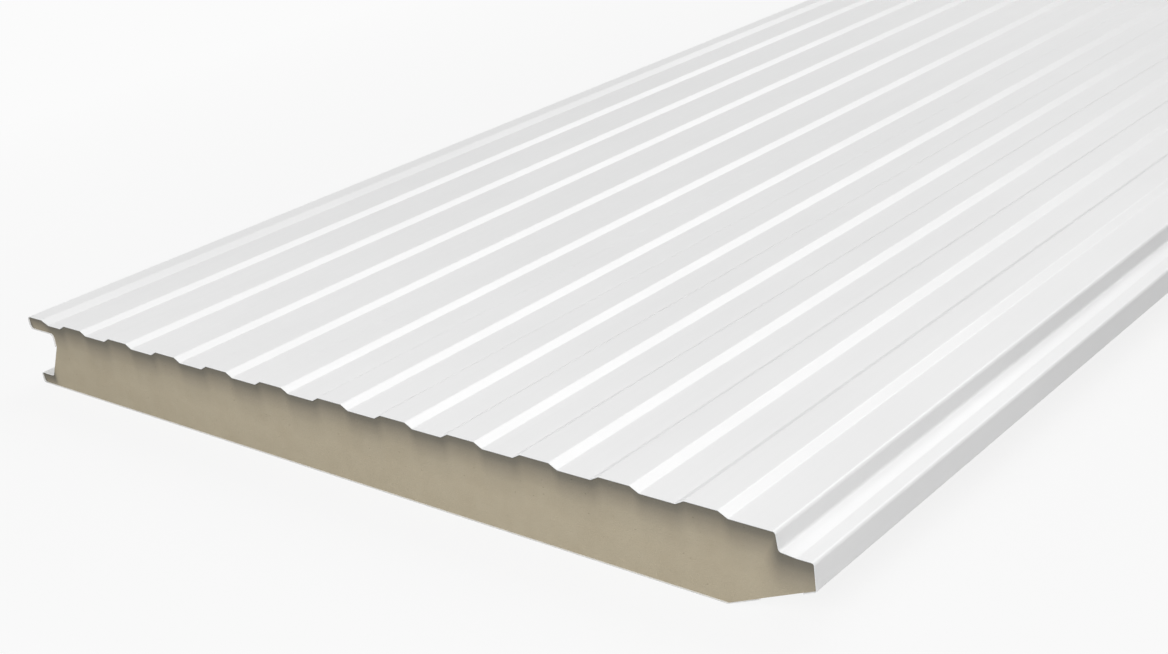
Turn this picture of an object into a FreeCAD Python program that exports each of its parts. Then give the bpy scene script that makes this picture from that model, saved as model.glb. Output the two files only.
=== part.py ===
import FreeCAD, Part
import math
import os
from collections import namedtuple

# Insulated sandwich panel for walls and cold rooms: two roll-formed steel facing sheets,
# bonded to a core of rigid polyurethane foam that fills the space between them.
# The panel lies flat. X runs across its width, from the groove at -X to the tongue at +X,
# Y runs along its length and Z is up. The origin is at the middle of the underside.
# Both long edges are shaped for a hidden joint: the next panel's upper lip covers the
# shelf, where the fixing screws go, and the tongue goes into the next panel's groove.
# All sizes are in millimetres.

# Overall
panel_length = 3000.0
cover_width = 1000.0          # from one panel's upper lip to the next one's, once they are joined
panel_thickness = 80.0        # from the underside to the tops of the ribs

# Facing sheets
outer_sheet_thickness = 0.6
inner_sheet_thickness = 0.5
foam_setback = 1.5            # the sheets stand proud of the foam by this much at each end

# Ribs of the outer sheet
rib_pitch = 84.0
rib_height = 4.5
rib_top_width = 32.0
rib_slope_run = 8.5
rib_bend_radius = 3.0
edge_band_width = 42.0        # flat band between the last rib and the wall of the tongue side
smallest_first_band = 15.0    # the first rib starts at least this far from the upper lip's slope

# Upper lip, and the groove below it
lip_band_width = 28.5
lip_slope_run = 12.0
lip_thickness = 15.0
lip_tip_radius = 4.5
groove_depth = 43.5           # under the upper lip
groove_corner_radius = 5.0
groove_turn_down = 14.5       # the outer sheet's edge, turned down against the foam

# Lower lip, on the inner sheet
lower_lip_lead = 1.0          # how far it reaches out past the upper lip
lower_lip_thickness = 12.5
lower_lip_width = 22.5        # its sheet's edge, from which the bare foam slants up into the groove
lower_lip_tip_radius = 3.0

# Wall, shelf and tongue
joint_gap = 4.0               # from the foot of the wall to the next panel's upper lip
wall_height = 15.5
wall_run = 1.5
wall_bend_radius = 2.5
shelf_slope_run = 15.0
shelf_slope_drop = 1.5
shelf_flat_width = 15.0
tongue_nose_height = 24.0
tongue_slant_run = 82.0
tongue_bend_radius = 2.0
nose_return_run = 12.0        # the outer sheet's edge, turned in under the tongue
slant_upturn_run = 30.0       # the inner sheet's edge, turned up under the tongue

# Levels and places that follow from the sizes above
band_level = panel_thickness - rib_height
shelf_foot_level = band_level - wall_height
shelf_level = shelf_foot_level - shelf_slope_drop
nose_bottom_level = shelf_level - tongue_nose_height
lip_underside_level = panel_thickness - lip_thickness
tongue_reach = shelf_slope_run + shelf_flat_width
overall_width = lower_lip_lead + cover_width - joint_gap + tongue_reach
lower_lip_tip_x = -overall_width / 2
lip_tip_x = lower_lip_tip_x + lower_lip_lead
groove_x = lip_tip_x + groove_depth
tongue_tip_x = overall_width / 2
wall_foot_x = tongue_tip_x - tongue_reach
wall_top_x = wall_foot_x - wall_run
rib_width = rib_top_width + 2 * rib_slope_run
last_rib_x = wall_top_x - edge_band_width - rib_width
lip_slope_end_x = lip_tip_x + lip_band_width + lip_slope_run
rib_room = last_rib_x - lip_slope_end_x - smallest_first_band
rib_count = 1 + math.floor(rib_room / rib_pitch)        # as many ribs as the room takes
first_rib_x = last_rib_x - (rib_count - 1) * rib_pitch
slant_rise_per_run = nose_bottom_level / tongue_slant_run

# A corner of a sheet's outside surface, with the inside radius of its bend
Corner = namedtuple("Corner", "x z radius")


def rib_corners(left_x):
    """The four bends of one trapezoidal rib that starts at left_x."""
    right_x = left_x + rib_width
    return [
        Corner(left_x, band_level, rib_bend_radius),
        Corner(left_x + rib_slope_run, panel_thickness, rib_bend_radius),
        Corner(right_x - rib_slope_run, panel_thickness, rib_bend_radius),
        Corner(right_x, band_level, rib_bend_radius),
    ]


def slant_corner(run):
    """A point on the tongue's slanted underside, at this run in from the tongue's tip."""
    return Corner(tongue_tip_x - run, nose_bottom_level - run * slant_rise_per_run, 0)


def upper_lip_corners():
    """From the groove's foam face, along the lip's underside, round its tip and down its slope."""
    return [
        Corner(groove_x, lip_underside_level - groove_turn_down, 0),
        Corner(groove_x, lip_underside_level, groove_corner_radius),
        Corner(lip_tip_x, lip_underside_level, lip_tip_radius),
        Corner(lip_tip_x, panel_thickness, lip_tip_radius),
        Corner(lip_slope_end_x - lip_slope_run, panel_thickness, rib_bend_radius),
        Corner(lip_slope_end_x, band_level, rib_bend_radius),
    ]


def tongue_corners():
    """Down the wall, over the shelf, round the tongue's nose and in under it."""
    return [
        Corner(wall_top_x, band_level, wall_bend_radius),
        Corner(wall_foot_x, shelf_foot_level, wall_bend_radius),
        Corner(wall_foot_x + shelf_slope_run, shelf_level, tongue_bend_radius),
        Corner(tongue_tip_x, shelf_level, tongue_bend_radius),
        Corner(tongue_tip_x, nose_bottom_level, tongue_bend_radius),
        slant_corner(nose_return_run),
    ]


def outer_sheet_corners():
    """The outer sheet's section, clockwise, from the groove to the underside of the tongue."""
    corners = upper_lip_corners()
    for number in range(rib_count):
        corners += rib_corners(first_rib_x + number * rib_pitch)
    return corners + tongue_corners()


def inner_sheet_corners():
    """The inner sheet's section, clockwise, from under the tongue to the top of the lower lip."""
    return [
        slant_corner(tongue_slant_run - slant_upturn_run),
        Corner(tongue_tip_x - tongue_slant_run, 0, tongue_bend_radius),
        Corner(lower_lip_tip_x, 0, lower_lip_tip_radius),
        Corner(lower_lip_tip_x, lower_lip_thickness, lower_lip_tip_radius),
        Corner(lower_lip_tip_x + lower_lip_width, lower_lip_thickness, 0),
    ]


def inward(start, end):
    """The unit normal on the foam side of a clockwise run from start to end."""
    along = (end - start).normalize()
    return FreeCAD.Vector(along.z, 0, -along.x)


def offset_point(before, point, after, depth):
    """A sheet's corner point, or the end of its run, at this depth below its outside surface."""
    if before is None:
        return point + inward(point, after) * depth
    if after is None:
        return point + inward(before, point) * depth
    first = inward(before, point)
    second = inward(point, after)
    return point + (first + second) * (depth / (1 + first.dot(second)))


def bend_arc(before, corner, after, radius):
    """The arc that rounds a corner, tangent to the straight runs on both sides of it."""
    back = (before - corner).normalize()
    onward = (after - corner).normalize()
    half_angle = back.getAngle(onward) / 2
    reach = radius / math.tan(half_angle)
    middle = radius / math.sin(half_angle) - radius
    bisector = (back + onward).normalize()
    return Part.Arc(corner + back * reach, corner + bisector * middle, corner + onward * reach)


def sheet_side(corners, thickness, depth):
    """Edges of the sheet's surface at this depth: 0 is its outside, its thickness the foam side."""
    points = [FreeCAD.Vector(corner.x, 0, corner.z) for corner in corners]
    befores = [None] + points[:-1]
    afters = points[1:] + [None]
    shifted = [offset_point(b, p, a, depth) for b, p, a in zip(befores, points, afters)]
    edges = []
    start = shifted[0]
    for place in range(1, len(points) - 1):
        turn = inward(points[place - 1], points[place]).dot(points[place + 1] - points[place])
        inside_radius = corners[place].radius
        radius = inside_radius + (thickness - depth if turn > 0 else depth)
        arc = bend_arc(shifted[place - 1], shifted[place], shifted[place + 1], radius)
        edges.append(Part.LineSegment(start, arc.StartPoint).toShape())
        edges.append(arc.toShape())
        start = arc.EndPoint
    edges.append(Part.LineSegment(start, shifted[-1]).toShape())
    return edges


def first_point(edges):
    return edges[0].firstVertex().Point


def last_point(edges):
    return edges[-1].lastVertex().Point


def straight(start, end):
    return Part.LineSegment(start, end).toShape()


def lengthwise(edges, length):
    """A solid of this closed section, centred on the panel's length."""
    section = Part.Face(Part.Wire(Part.sortEdges(edges)[0]))
    section.translate(FreeCAD.Vector(0, -length / 2, 0))
    return section.extrude(FreeCAD.Vector(0, length, 0))


def facing_sheet(corners, thickness):
    """One steel sheet, bent along its length, with its cut edges square to its surface."""
    outside = sheet_side(corners, thickness, 0)
    foam_side = sheet_side(corners, thickness, thickness)
    ends = [
        straight(first_point(outside), first_point(foam_side)),
        straight(last_point(outside), last_point(foam_side)),
    ]
    return lengthwise(outside + foam_side + ends, panel_length)


def foam_core():
    """The foam fills the sheets' foam sides, and is bare in the groove and under the tongue."""
    outer_side = sheet_side(outer_sheet_corners(), outer_sheet_thickness, outer_sheet_thickness)
    inner_side = sheet_side(inner_sheet_corners(), inner_sheet_thickness, inner_sheet_thickness)
    bare_slant = straight(last_point(outer_side), first_point(inner_side))
    bare_groove = straight(last_point(inner_side), first_point(outer_side))
    edges = outer_side + [bare_slant] + inner_side + [bare_groove]
    return lengthwise(edges, panel_length - 2 * foam_setback)


pieces = {
    "outer_facing_sheet": facing_sheet(outer_sheet_corners(), outer_sheet_thickness),
    "foam_core": foam_core(),
    "inner_facing_sheet": facing_sheet(inner_sheet_corners(), inner_sheet_thickness),
}

os.makedirs("parts", exist_ok=True)
for name, solid in pieces.items():
    solid.exportStep("parts/" + name + ".step")
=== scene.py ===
import math

import bpy
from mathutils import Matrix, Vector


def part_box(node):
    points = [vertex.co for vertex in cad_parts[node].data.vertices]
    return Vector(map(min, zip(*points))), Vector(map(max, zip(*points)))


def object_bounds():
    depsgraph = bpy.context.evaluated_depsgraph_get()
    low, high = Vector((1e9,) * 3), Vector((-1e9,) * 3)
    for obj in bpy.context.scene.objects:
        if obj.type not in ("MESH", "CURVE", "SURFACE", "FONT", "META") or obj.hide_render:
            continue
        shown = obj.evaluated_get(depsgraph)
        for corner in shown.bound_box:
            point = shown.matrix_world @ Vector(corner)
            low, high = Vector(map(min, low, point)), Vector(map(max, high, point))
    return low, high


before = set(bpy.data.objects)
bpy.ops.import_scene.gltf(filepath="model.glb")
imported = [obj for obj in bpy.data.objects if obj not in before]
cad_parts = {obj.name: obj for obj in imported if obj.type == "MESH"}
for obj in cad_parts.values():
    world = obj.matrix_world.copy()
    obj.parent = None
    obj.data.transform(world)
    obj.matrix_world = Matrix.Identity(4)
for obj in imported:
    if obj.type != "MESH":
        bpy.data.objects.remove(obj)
cad_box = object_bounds()

# --- Outer facing sheet ---------------------------------------------------------------------
# Zinc-coated steel strip 0.6 mm thick, coil-coated in satin white polyester and then roll-formed
# with its ribs, its upper lip and its tongue. It is sheared to length, so zinc shows at its ends.

outer_white = (0.850, 0.850, 0.850, 1)
outer_white_faded = (0.825, 0.825, 0.825, 1)
clouds_to_the_metre = 6.0                       # where the white fades a little
streaks_to_the_metre = (260.0, 1.2, 260.0)      # fine across the strip, drawn out along it
cloud_share, streak_share = 0.7, 0.3            # how much of the fading each of them makes
sheen_patches_to_the_metre = 18.0
satin_low, satin_high = 0.34, 0.38              # roughness, which clouds a little
orange_peel_to_the_metre = 650.0
orange_peel_height = 0.00002
cut_zinc = (0.66, 0.67, 0.68, 1)
cut_zinc_bright = (0.76, 0.77, 0.78, 1)
zinc_grain_to_the_metre = 1400.0
zinc_metallic = 0.7
end_face_from, end_face_full = 0.6, 0.9         # a face this square to the length was cut to length
relief_strength = 0.6
narrow_span = (0.35, 0.65)                      # the part of a noise's range that is used
wide_span = (0.3, 0.7)


def new_finish(name):
    """A material with nodes, its node tree and its shader."""
    material = bpy.data.materials.new(name)
    material.use_nodes = True
    tree = material.node_tree
    return material, tree, tree.nodes["Principled BSDF"]


def add_node(tree, kind, settings=None, inputs=None):
    """A node with these settings, and with a value or a link at each of these sockets."""
    node = tree.nodes.new(kind)
    for name, value in (settings or {}).items():
        setattr(node, name, value)
    for socket, value in (inputs or {}).items():
        if isinstance(value, bpy.types.NodeSocket):
            tree.links.new(value, node.inputs[socket])
        else:
            node.inputs[socket].default_value = value
    return node


def noise(tree, vector, to_the_metre, detail):
    """Soft blotches, with this many of them to the metre."""
    inputs = {"Vector": vector, "Scale": to_the_metre, "Detail": detail}
    return add_node(tree, "ShaderNodeTexNoise", inputs=inputs).outputs[0]


def stretched(tree, vector, scale):
    """A vector with a different scale along each axis."""
    return add_node(tree, "ShaderNodeMapping", inputs={"Vector": vector, "Scale": scale}).outputs[0]


def streaks(tree, position, to_the_metre):
    """Noise with a different number of streaks to the metre along each axis."""
    return noise(tree, stretched(tree, position, to_the_metre), 1.0, detail=2.0)


def remap(tree, value, low, high, new_low, new_high):
    """This value's range turned into another, and held there."""
    inputs = {"Value": value, "From Min": low, "From Max": high, "To Min": new_low, "To Max": new_high}
    return add_node(tree, "ShaderNodeMapRange", inputs=inputs).outputs[0]


def arithmetic(tree, operation, first, second=0.0):
    """One sum."""
    return add_node(tree, "ShaderNodeMath", {"operation": operation}, {0: first, 1: second}).outputs[0]


def mixed(tree, share, first, second, blend="MIX"):
    """Two colours, at sockets 6 and 7, with this share of the second blended over the first."""
    settings = {"data_type": "RGBA", "blend_type": blend}
    return add_node(tree, "ShaderNodeMix", settings, {0: share, 6: first, 7: second}).outputs[2]


def pressed(tree, shader, relief, height):
    """Fine relief on the surface, up to this high."""
    inputs = {"Height": relief, "Distance": height, "Strength": relief_strength}
    bump = add_node(tree, "ShaderNodeBump", inputs=inputs)
    tree.links.new(bump.outputs[0], shader.inputs["Normal"])


def cut_to_length(tree, place):
    """1 on the end faces of a piece and 0 on its long sides."""
    facing = add_node(tree, "ShaderNodeSeparateXYZ", inputs={0: place.outputs["Normal"]}).outputs["Y"]
    squareness = arithmetic(tree, "ABSOLUTE", facing)
    return remap(tree, squareness, end_face_from, end_face_full, 0.0, 1.0)


def painted_steel(name, fresh, faded):
    """Satin coil coating over steel, with bare zinc where the sheet was sheared to length."""
    material, tree, shader = new_finish(name)
    place = add_node(tree, "ShaderNodeTexCoord")
    position = place.outputs["Object"]
    clouds = noise(tree, position, clouds_to_the_metre, detail=3.0)
    roll_streaks = streaks(tree, position, streaks_to_the_metre)
    cloud_fading = remap(tree, clouds, *narrow_span, 0.0, cloud_share)
    streak_fading = remap(tree, roll_streaks, *narrow_span, 0.0, streak_share)
    paint = mixed(tree, arithmetic(tree, "ADD", cloud_fading, streak_fading), fresh, faded)
    sheared = cut_to_length(tree, place)
    zinc_grain = noise(tree, position, zinc_grain_to_the_metre, detail=2.0)
    zinc = mixed(tree, zinc_grain, cut_zinc, cut_zinc_bright)
    tree.links.new(mixed(tree, sheared, paint, zinc), shader.inputs["Base Color"])
    sheen_patches = noise(tree, position, sheen_patches_to_the_metre, detail=2.0)
    satin = remap(tree, sheen_patches, *wide_span, satin_low, satin_high)
    tree.links.new(satin, shader.inputs["Roughness"])
    metallic = arithmetic(tree, "MULTIPLY", sheared, zinc_metallic)
    tree.links.new(metallic, shader.inputs["Metallic"])
    orange_peel = noise(tree, position, orange_peel_to_the_metre, detail=1.0)
    pressed(tree, shader, orange_peel, orange_peel_height)
    return material


def dress(name, material):
    """Gives a solid its finish."""
    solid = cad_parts[name]
    for slot in solid.material_slots:
        slot.material = material


dress("outer_facing_sheet", painted_steel("outer_sheet_paint", outer_white, outer_white_faded))

# --- Foam core ------------------------------------------------------------------------------
# Rigid polyurethane foam, poured between the sheets, which it bonds to as it rises. It was sawn to
# length, so its ends show cut cells and a few voids, with shade painted into their colour below the
# sheets.

foam_beige = (0.342, 0.299, 0.220, 1)
foam_pale = (0.360, 0.317, 0.236, 1)
foam_skin = (0.82, 0.81, 0.78, 1)         # share of its light kept in the groove and under the tongue
foam_roughness = 0.95
foam_shine = 0.15
blotches_to_the_metre = 45.0
cells_to_the_metre = 1300.0
cell_height = 0.0004
skin_relief = 0.3                         # the skin's relief, as a share of the cut cells'
saw_marks_to_the_metre = (320.0, 30.0, 8.0)
saw_mark_depth = 0.8                      # in cell heights, as void_depth is
voids_to_the_metre = 150.0
void_middle, void_rim = 0.05, 0.10        # in spaces between voids
void_draw = (0.70, 0.72)                  # a place with a lower draw has no void
void_brown = (0.16, 0.135, 0.09, 1)
void_share = 0.5
void_depth = 2.0

# Painted shade: the share of its colour that sawn foam keeps, by its depth below the sheet in metres.
# Round the lips and the step, a distance across or down counts as its share times as deep.
painted_shade_by_depth = {
    0.0: (0.34, 0.36, 0.40),
    0.006: (0.42, 0.44, 0.48),
    0.011: (0.58, 0.59, 0.62),
    0.018: (0.74, 0.75, 0.77),
    0.027: (0.90, 0.905, 0.91),
    0.046: (1.0, 1.0, 1.0),
}
lip_share = 1.6
lip_tip_share = 3.0
step_shares = (1.6, 0.82)
lower_lip_shares = (4.0, 1.4)

# The sheets' section, in metres
outer_low, outer_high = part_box("outer_facing_sheet")
inner_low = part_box("inner_facing_sheet")[0]
lip_tip = outer_low[0]
tongue_tip = outer_high[0]
rib_pitch = 0.084
rib_height = 0.0045
rib_half_top = 0.016
rib_half_foot = 0.0245
band_level = outer_high[2] - rib_height
lip_slope_top = lip_tip + 0.0285
lip_slope_foot = lip_tip + 0.0405
lip_zone_start = lip_tip + 0.020
lip_zone_end = lip_tip + 0.045
first_rib_middle = lip_tip + 0.088
last_rib_foot = tongue_tip - 0.0735
last_rib_end = last_rib_foot + 0.001
wall_foot = tongue_tip - 0.030
shelf_level = 0.0585
lower_lip_top = 0.0125
lower_lip_root = inner_low[0] + 0.0225


def sheet_above(tree, across):
    """The outer sheet's level over a place across the panel, with its ribs and its upper lip."""
    from_first = arithmetic(tree, "SUBTRACT", across, first_rib_middle)
    from_rib = arithmetic(tree, "PINGPONG", from_first, rib_pitch / 2)
    ribs = remap(tree, from_rib, rib_half_top, rib_half_foot, rib_height, 0.0)
    last_band = remap(tree, across, last_rib_foot, last_rib_end, rib_height, 0.0)
    lip = remap(tree, across, lip_slope_top, lip_slope_foot, rib_height, 0.0)
    rise = arithmetic(tree, "MAXIMUM", arithmetic(tree, "MINIMUM", ribs, last_band), lip)
    return arithmetic(tree, "ADD", rise, band_level)


def beyond(tree, place, start):
    """How far a place is past this start, and 0 before it."""
    return arithmetic(tree, "MAXIMUM", arithmetic(tree, "SUBTRACT", place, start))


def length_of(tree, vector):
    """A vector's length."""
    return add_node(tree, "ShaderNodeVectorMath", {"operation": "LENGTH"}, {0: vector}).outputs["Value"]


def distance_in(tree, across, down, shares):
    """How far a place in the foam is from a corner of a sheet, by its shares across and down."""
    corner = add_node(tree, "ShaderNodeCombineXYZ", inputs={"X": across, "Z": down}).outputs[0]
    return length_of(tree, stretched(tree, corner, (shares[0], 1, shares[1])))


def depth_of_foam(tree, position):
    """Depth below the outer sheet and its step, in from its lip, and below the top of the lower lip."""
    axes = add_node(tree, "ShaderNodeSeparateXYZ", inputs={0: position}).outputs
    across, up = axes["X"], axes["Z"]
    share = remap(tree, across, lip_zone_start, lip_zone_end, lip_share, 1.0)
    below_sheet = arithmetic(tree, "SUBTRACT", sheet_above(tree, across), up)
    below_sheet = arithmetic(tree, "MULTIPLY", below_sheet, share)
    inside_wall = beyond(tree, wall_foot, across)
    below_shelf = beyond(tree, shelf_level, up)
    from_step = distance_in(tree, inside_wall, below_shelf, step_shares)
    from_tip = arithmetic(tree, "SUBTRACT", across, lip_tip)
    from_tip = arithmetic(tree, "MULTIPLY", from_tip, lip_tip_share)
    inside_root = beyond(tree, across, lower_lip_root)
    below_lip = arithmetic(tree, "SUBTRACT", lower_lip_top, up)
    from_lip = distance_in(tree, inside_root, below_lip, lower_lip_shares)
    nearest = arithmetic(tree, "MINIMUM", below_sheet, from_step)
    return arithmetic(tree, "MINIMUM", nearest, arithmetic(tree, "MINIMUM", from_tip, from_lip))


def painted_shade_at_depth(tree, depth):
    """The painted shade's tone at this depth."""
    deepest = max(painted_shade_by_depth)
    share = remap(tree, depth, 0.0, deepest, 0.0, 1.0)
    ramp = add_node(tree, "ShaderNodeValToRGB", inputs={0: share})
    stops = ramp.color_ramp.elements
    stops.remove(stops[1])
    stops[0].color = (*painted_shade_by_depth[0.0], 1)
    for deep, tone in list(painted_shade_by_depth.items())[1:]:
        stops.new(deep / deepest).color = (*tone, 1)
    return ramp.outputs[0]


def few_voids(tree, position):
    """1 in a void and 0 round it, in about a third of the places where one could be."""
    inputs = {"Vector": position, "Scale": voids_to_the_metre}
    voids = add_node(tree, "ShaderNodeTexVoronoi", inputs=inputs)
    pits = remap(tree, voids.outputs["Distance"], void_middle, void_rim, 1.0, 0.0)
    draw = add_node(tree, "ShaderNodeSeparateColor", inputs={0: voids.outputs["Color"]}).outputs[0]
    return arithmetic(tree, "MULTIPLY", pits, remap(tree, draw, *void_draw, 0.0, 1.0))


def foam_relief(tree, position, sawn, pits):
    """Cut cells, saw marks and voids, all of them fainter on the long sides' skin."""
    inputs = {"Vector": position, "Scale": cells_to_the_metre}
    cells = add_node(tree, "ShaderNodeTexVoronoi", inputs=inputs).outputs["Distance"]
    saw_marks = streaks(tree, position, saw_marks_to_the_metre)
    saw_marks = arithmetic(tree, "MULTIPLY", saw_marks, saw_mark_depth)
    pits = arithmetic(tree, "MULTIPLY", pits, void_depth)
    relief = arithmetic(tree, "SUBTRACT", arithmetic(tree, "ADD", cells, saw_marks), pits)
    return arithmetic(tree, "MULTIPLY", relief, remap(tree, sawn, 0.0, 1.0, skin_relief, 1.0))


def rigid_foam():
    """Foam with soft blotches, painted shade and its voids on the sawn ends, and a skin elsewhere."""
    material, tree, shader = new_finish("foam")
    place = add_node(tree, "ShaderNodeTexCoord")
    position = place.outputs["Object"]
    sawn = cut_to_length(tree, place)
    # Painted shade on the sawn ends, darkest right below the sheets; the long sides keep the skin's
    # tone.
    shade = painted_shade_at_depth(tree, depth_of_foam(tree, position))
    shade = mixed(tree, sawn, foam_skin, shade)
    pits = arithmetic(tree, "MULTIPLY", few_voids(tree, position), sawn)
    blotches = noise(tree, position, blotches_to_the_metre, detail=4.0)
    foam = mixed(tree, remap(tree, blotches, *wide_span, 0.0, 1.0), foam_beige, foam_pale)
    foam = mixed(tree, arithmetic(tree, "MULTIPLY", pits, void_share), foam, void_brown)
    foam = mixed(tree, 1.0, foam, shade, blend="MULTIPLY")
    tree.links.new(foam, shader.inputs["Base Color"])
    shader.inputs["Roughness"].default_value = foam_roughness
    shader.inputs["Specular IOR Level"].default_value = foam_shine
    pressed(tree, shader, foam_relief(tree, position, sawn, pits), cell_height)
    return material


dress("foam_core", rigid_foam())

# --- Inner facing sheet ---------------------------------------------------------------------
# Zinc-coated steel strip 0.5 mm thick with the same coating in a plainer white. It is flat, but
# for the lower lip folded up round the foam on one side and an edge turned up under the tongue.

inner_white = (0.80, 0.80, 0.79, 1)
inner_white_faded = (0.77, 0.77, 0.76, 1)
dress("inner_facing_sheet", painted_steel("inner_sheet_paint", inner_white, inner_white_faded))

# --- Studio ---------------------------------------------------------------------------------
# A white floor that keeps a soft shadow round the panel, in a white room with two large softboxes:
# one high behind the panel, which the ribs' slopes mirror, and one in front of its near end.

white_backdrop = 0.965
room_light = 0.2
floor_white = (0.80, 0.80, 0.80, 1)
floor_size = 80
below_panel = 0.0002
near_reach, far_reach = 1.0, 3.5          # in half sizes of the panel, from its middle
near_share = 0.88                         # of the backdrop's white, on the floor beside the panel


def shows(tree):
    """1 for what is seen straight, in a reflection or through glass, and 0 for the light itself."""
    path = add_node(tree, "ShaderNodeLightPath").outputs
    seen = arithmetic(tree, "MAXIMUM", path["Is Camera Ray"], path["Is Glossy Ray"])
    return arithmetic(tree, "MAXIMUM", seen, path["Is Transmission Ray"])


def floor_finish(half_width, half_length):
    """Matt white that turns into the backdrop's white away from the panel and its shadow."""
    material, tree, shader = new_finish("studio_floor")
    shader.inputs["Base Color"].default_value = floor_white
    shader.inputs["Roughness"].default_value = 1.0
    shader.inputs["Specular IOR Level"].default_value = 0.0
    glow = add_node(tree, "ShaderNodeEmission", inputs={"Strength": white_backdrop})
    place = add_node(tree, "ShaderNodeTexCoord").outputs["Object"]
    reach = length_of(tree, stretched(tree, place, (1 / half_width, 1 / half_length, 0)))
    share = remap(tree, reach, near_reach, far_reach, near_share, 1.0)
    backdrop = arithmetic(tree, "MULTIPLY", shows(tree), share)
    sources = {0: backdrop, 1: shader.outputs[0], 2: glow.outputs[0]}
    blend = add_node(tree, "ShaderNodeMixShader", inputs=sources)
    tree.links.new(blend.outputs[0], tree.nodes["Material Output"].inputs["Surface"])
    return material


bpy.ops.object.select_all(action="DESELECT")
floor_level = cad_box[0][2] - below_panel
bpy.ops.mesh.primitive_plane_add(size=floor_size, location=(0, 0, floor_level))
floor = bpy.context.object
floor.name = "studio_floor"
floor.data.materials.append(floor_finish(cad_box[1][0], cad_box[1][1]))

world = bpy.data.worlds.new("studio")
bpy.context.scene.world = world
world.use_nodes = True
world_tree = world.node_tree
background = world_tree.nodes["Background"]
background.inputs["Color"].default_value = (1, 1, 1, 1)
strength = remap(world_tree, shows(world_tree), 0.0, 1.0, room_light, white_backdrop)
world_tree.links.new(strength, background.inputs["Strength"])


def softbox(name, place, target, size, power):
    """A large square lamp that points at its target, in metres and watts."""
    light = bpy.data.lights.new(name, "AREA")
    light.shape = "SQUARE"
    light.size = size
    light.energy = power
    lamp = bpy.data.objects.new(name, light)
    bpy.context.scene.collection.objects.link(lamp)
    lamp.location = place
    run = [t - p for t, p in zip(target, place)]
    level = math.hypot(run[0], run[1])
    lamp.rotation_euler = (math.atan2(level, -run[2]), 0, math.atan2(run[1], run[0]) - math.pi / 2)


softbox("back_softbox", place=(-0.2, 2.6, 3.8), target=(0, -0.7, 0), size=3.4, power=120)
softbox("front_softbox", place=(1.1, -4.1, 1.85), target=(-2.2, -1.3, 0), size=2.3, power=129)

# --- Camera ---------------------------------------------------------------------------------
# A 50 mm lens 0.8 m off the near end and 0.6 m above the panel, out past the tongue and turned
# towards the groove. The far end runs out of the frame, and the camera leans a little to one side.

lens_length = 50.46
film_width = 36
camera_place = (1.1032, -2.3234, 0.6605)
camera_turn = (68.059, 7.181, 40.591)         # degrees

camera_data = bpy.data.cameras.new("camera")
camera_data.sensor_width = film_width
camera_data.lens = lens_length
camera = bpy.data.objects.new("camera", camera_data)
bpy.context.scene.collection.objects.link(camera)
camera.location = camera_place
camera.rotation_euler = [math.radians(angle) for angle in camera_turn]
bpy.context.scene.camera = camera
bpy.context.scene.view_settings.view_transform = "Standard"
